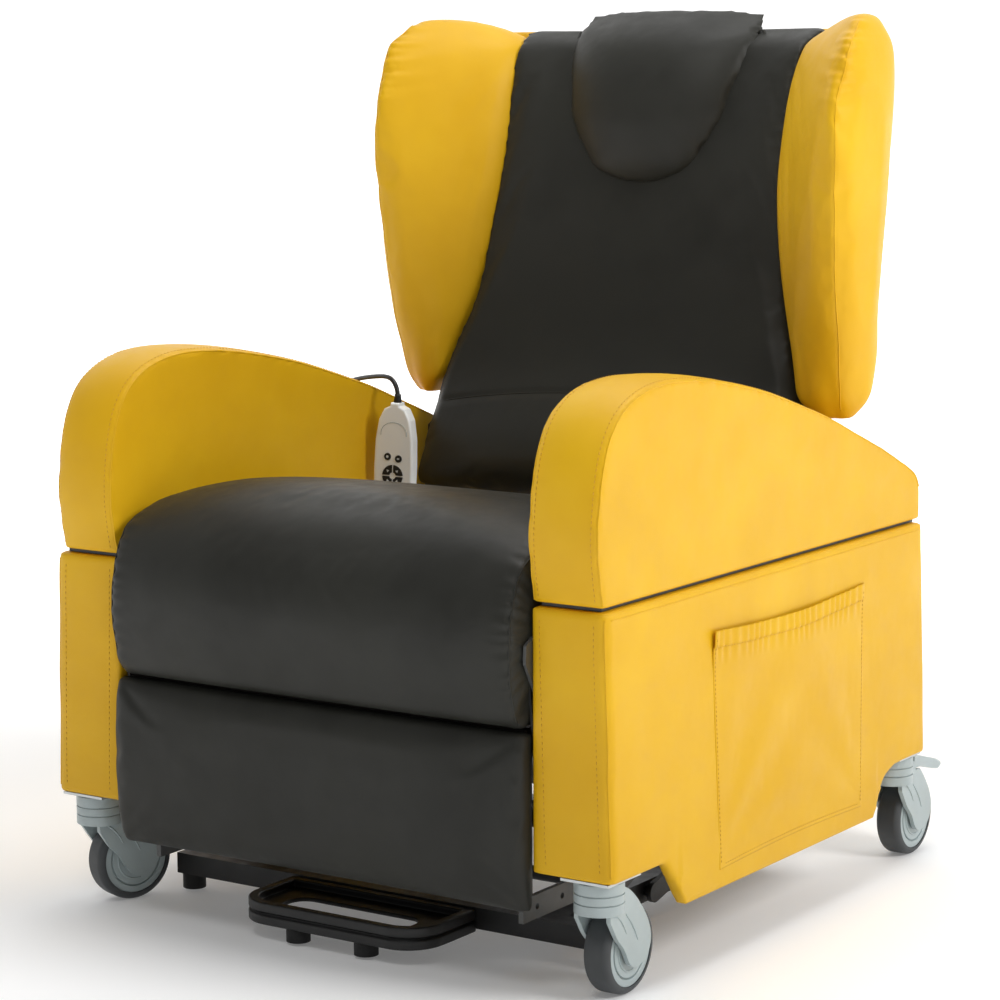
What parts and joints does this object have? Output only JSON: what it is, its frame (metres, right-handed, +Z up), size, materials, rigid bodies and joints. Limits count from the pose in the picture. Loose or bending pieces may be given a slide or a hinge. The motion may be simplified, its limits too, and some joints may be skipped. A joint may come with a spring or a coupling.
{
  "type": "patient recliner chair",
  "caption": "Winged patient chair on castors with powered backrest, legrest and riser, fixed armrests, a side pocket and a corded handset.",
  "frame": {"origin": "on the floor, under the middle of the chair's bounding box", "axes": "+Z up, the occupant faces -Y, +X is the occupant's left"},
  "size_m": [0.7925, 0.8589, 1.058],
  "materials": {
    "yellow_vinyl": "coated vinyl upholstery, satin",
    "yellow_panel": "timber box covered in coated vinyl, satin",
    "grey_vinyl": "coated vinyl upholstery over foam, satin",
    "board": "plywood",
    "castor_grey": "moulded, satin",
    "castor_tyre": "soft thermoplastic rubber",
    "zinc": "zinc plated",
    "black_plastic": "moulded",
    "bright_steel": "polished",
    "handset_white": "fine texture",
    "button_black": "silicone keys",
    "cord_black": "PVC sheath",
    "black_rubber": "moulded",
    "black_steel": "powder coat"
  },
  "bodies": {
    "chassis": {"side_box_left": "yellow_panel", "side_box_right": "yellow_panel", "chassis_frame_left": "black_steel", "chassis_frame_right": "black_steel", "cross_member_front": "black_steel", "cross_member_middle": "black_steel", "cross_member_rear": "black_steel", "seat_deck": "board", "control_box": "black_plastic", "seat_cushion": "grey_vinyl", "castor_plates_front": "zinc", "castor_plates_rear": "zinc", "storage_pocket": "yellow_vinyl", "cord_gland": "black_plastic", "armrest_pad_left": "yellow_vinyl", "armrest_frame_left": "black_steel", "armrest_pad_right": "yellow_vinyl", "armrest_frame_right": "black_steel", "handset_shell": "handset_white", "handset_cord": "cord_black"},
    "legrest": {"legrest_pad": "grey_vinyl", "legrest_board": "board", "legrest_frame": "black_steel"},
    "backrest": {"back_cushion": "grey_vinyl", "wing_left": "yellow_vinyl", "wing_right": "yellow_vinyl", "back_shell": "yellow_vinyl", "headrest_pillow": "grey_vinyl", "back_frame": "black_steel"},
    "lift_arm": {"lift_arm": "black_steel"},
    "front_link": {"front_link": "black_steel"},
    "floor_base": {"floor_frame": "black_steel", "foot_loop": "black_steel", "foot_pads": "black_rubber"},
    "recline_housing": {"recline_actuator_housing": "black_plastic"},
    "recline_rod": {"recline_actuator_rod": "bright_steel"},
    "legrest_housing": {"legrest_actuator_housing": "black_plastic"},
    "legrest_rod": {"legrest_actuator_rod": "bright_steel"},
    "lift_housing": {"lift_actuator_housing": "black_plastic"},
    "lift_rod": {"lift_actuator_rod": "bright_steel"},
    "castor_front_left": {"castor_fork_front_left": "castor_grey"},
    "wheel_front_left": {"castor_tyre_front_left": "castor_tyre", "castor_hub_front_left": "castor_grey"},
    "castor_front_right": {"castor_fork_front_right": "castor_grey"},
    "wheel_front_right": {"castor_tyre_front_right": "castor_tyre", "castor_hub_front_right": "castor_grey"},
    "castor_rear_left": {"castor_fork_rear_left": "castor_grey"},
    "wheel_rear_left": {"castor_tyre_rear_left": "castor_tyre", "castor_hub_rear_left": "castor_grey"},
    "pedal_rear_left": {"brake_pedal_rear_left": "castor_grey"},
    "castor_rear_right": {"castor_fork_rear_right": "castor_grey"},
    "wheel_rear_right": {"castor_tyre_rear_right": "castor_tyre", "castor_hub_rear_right": "castor_grey"},
    "pedal_rear_right": {"brake_pedal_rear_right": "castor_grey"},
    "button_light": {"handset_button_light": "button_black"},
    "button_lock": {"handset_button_lock": "button_black"},
    "button_back_up": {"handset_button_back_up": "button_black"},
    "button_legs_up": {"handset_button_legs_up": "button_black"},
    "button_legs_down": {"handset_button_legs_down": "button_black"},
    "button_back_down": {"handset_button_back_down": "button_black"}
  },
  "joints": [
    {"name": "recline", "type": "hinge", "parent": "chassis", "child": "backrest", "pos_m": [0, 0.211, 0.4], "axis": [-1, 0, 0], "range_deg": [0, 45]},
    {"name": "legrest_lift", "type": "hinge", "parent": "chassis", "child": "legrest", "pos_m": [0, -0.385, 0.375], "axis": [-1, 0, 0], "range_deg": [0, 90]},
    {"name": "riser", "type": "hinge", "parent": "chassis", "child": "lift_arm", "pos_m": [0, 0.131, 0.084], "axis": [1, 0, 0], "range_deg": [0, 45]},
    {"name": "floor_base_tilt", "type": "hinge", "parent": "lift_arm", "child": "floor_base", "pos_m": [0, -0.069, 0.035], "axis": [-1, 0, 0], "range_deg": [0, 63]},
    {"name": "front_link_swing", "type": "hinge", "parent": "chassis", "child": "front_link", "pos_m": [0, -0.09, 0.084], "axis": [1, 0, 0], "range_deg": [0, 58.5]},
    {"name": "recline_actuator_swing", "type": "hinge", "parent": "chassis", "child": "recline_housing", "pos_m": [0, -0.179, 0.15], "axis": [1, 0, 0], "range_deg": [0, 12.59]},
    {"name": "recline_actuator_rod_slide", "type": "slide", "parent": "recline_housing", "child": "recline_rod", "axis": [0, -0.9895, -0.1448], "range_m": [0, 0.12711]},
    {"name": "legrest_actuator_swing", "type": "hinge", "parent": "chassis", "child": "legrest_housing", "pos_m": [0, 0.041, 0.118], "axis": [1, 0, 0], "range_deg": [0, 4.86]},
    {"name": "legrest_actuator_rod_slide", "type": "slide", "parent": "legrest_housing", "child": "legrest_rod", "axis": [0, -0.9275, 0.3737], "range_m": [0, 0.20659]},
    {"name": "lift_actuator_swing", "type": "hinge", "parent": "chassis", "child": "lift_housing", "pos_m": [0, 0.231, 0.225], "axis": [1, 0, 0], "range_deg": [0, 17.21]},
    {"name": "lift_actuator_rod_slide", "type": "slide", "parent": "lift_housing", "child": "lift_rod", "axis": [0, -0.8771, -0.4803], "range_m": [0, 0.042]},
    {"name": "castor_swivel_front_left", "type": "hinge", "parent": "chassis", "child": "castor_front_left", "pos_m": [0.351, -0.358, 0.12], "axis": [0, 0, 1], "continuous": true},
    {"name": "castor_roll_front_left", "type": "hinge", "parent": "castor_front_left", "child": "wheel_front_left", "pos_m": [0.351, -0.319, 0.05], "axis": [1, 0, 0], "continuous": true},
    {"name": "castor_swivel_front_right", "type": "hinge", "parent": "chassis", "child": "castor_front_right", "pos_m": [-0.351, -0.358, 0.12], "axis": [0, 0, 1], "continuous": true},
    {"name": "castor_roll_front_right", "type": "hinge", "parent": "castor_front_right", "child": "wheel_front_right", "pos_m": [-0.3384, -0.32109, 0.05], "axis": [0.9464, -0.3231, 0], "continuous": true},
    {"name": "castor_swivel_rear_left", "type": "hinge", "parent": "chassis", "child": "castor_rear_left", "pos_m": [0.351, 0.329, 0.12], "axis": [0, 0, 1], "continuous": true},
    {"name": "castor_roll_rear_left", "type": "hinge", "parent": "castor_rear_left", "child": "wheel_rear_left", "pos_m": [0.351, 0.368, 0.05], "axis": [1, 0, 0], "continuous": true},
    {"name": "brake_pedal_press_rear_left", "type": "hinge", "parent": "castor_rear_left", "child": "pedal_rear_left", "pos_m": [0.351, 0.358, 0.118], "axis": [-1, 0, 0], "range_deg": [0, 8]},
    {"name": "castor_swivel_rear_right", "type": "hinge", "parent": "chassis", "child": "castor_rear_right", "pos_m": [-0.351, 0.329, 0.12], "axis": [0, 0, 1], "continuous": true},
    {"name": "castor_roll_rear_right", "type": "hinge", "parent": "castor_rear_right", "child": "wheel_rear_right", "pos_m": [-0.351, 0.368, 0.05], "axis": [1, 0, 0], "continuous": true},
    {"name": "brake_pedal_press_rear_right", "type": "hinge", "parent": "castor_rear_right", "child": "pedal_rear_right", "pos_m": [-0.351, 0.358, 0.118], "axis": [-1, 0, 0], "range_deg": [0, 8]},
    {"name": "button_press_light", "type": "slide", "parent": "chassis", "child": "button_light", "axis": [-0.2419, 0.9703, 0], "range_m": [0, 0.0008], "stiffness_N_per_m": 400, "springref_m": -0.0005},
    {"name": "button_press_lock", "type": "slide", "parent": "chassis", "child": "button_lock", "axis": [-0.2419, 0.9703, 0], "range_m": [0, 0.0008], "stiffness_N_per_m": 400, "springref_m": -0.0005},
    {"name": "button_press_back_up", "type": "slide", "parent": "chassis", "child": "button_back_up", "axis": [-0.2419, 0.9703, 0], "range_m": [0, 0.0008], "stiffness_N_per_m": 400, "springref_m": -0.0005},
    {"name": "button_press_legs_up", "type": "slide", "parent": "chassis", "child": "button_legs_up", "axis": [-0.2419, 0.9703, 0], "range_m": [0, 0.0008], "stiffness_N_per_m": 400, "springref_m": -0.0005},
    {"name": "button_press_legs_down", "type": "slide", "parent": "chassis", "child": "button_legs_down", "axis": [-0.2419, 0.9703, 0], "range_m": [0, 0.0008], "stiffness_N_per_m": 400, "springref_m": -0.0005},
    {"name": "button_press_back_down", "type": "slide", "parent": "chassis", "child": "button_back_down", "axis": [-0.2419, 0.9703, 0], "range_m": [0, 0.0008], "stiffness_N_per_m": 400, "springref_m": -0.0005}
  ],
  "couplings": [
    {"joint": "floor_base_tilt", "follows": "riser", "ratio": 1.4},
    {"joint": "front_link_swing", "follows": "riser", "ratio": 1.2936},
    {"joint": "recline_actuator_swing", "follows": "recline", "ratio": 0.27318},
    {"joint": "recline_actuator_rod_slide", "follows": "recline", "m_per_rad": 0.16057},
    {"joint": "legrest_actuator_swing", "follows": "legrest_lift", "ratio": 0.05063},
    {"joint": "legrest_actuator_rod_slide", "follows": "legrest_lift", "m_per_rad": 0.13088},
    {"joint": "lift_actuator_swing", "follows": "riser", "ratio": 0.37567},
    {"joint": "lift_actuator_rod_slide", "follows": "riser", "m_per_rad": 0.052206}
  ]
}
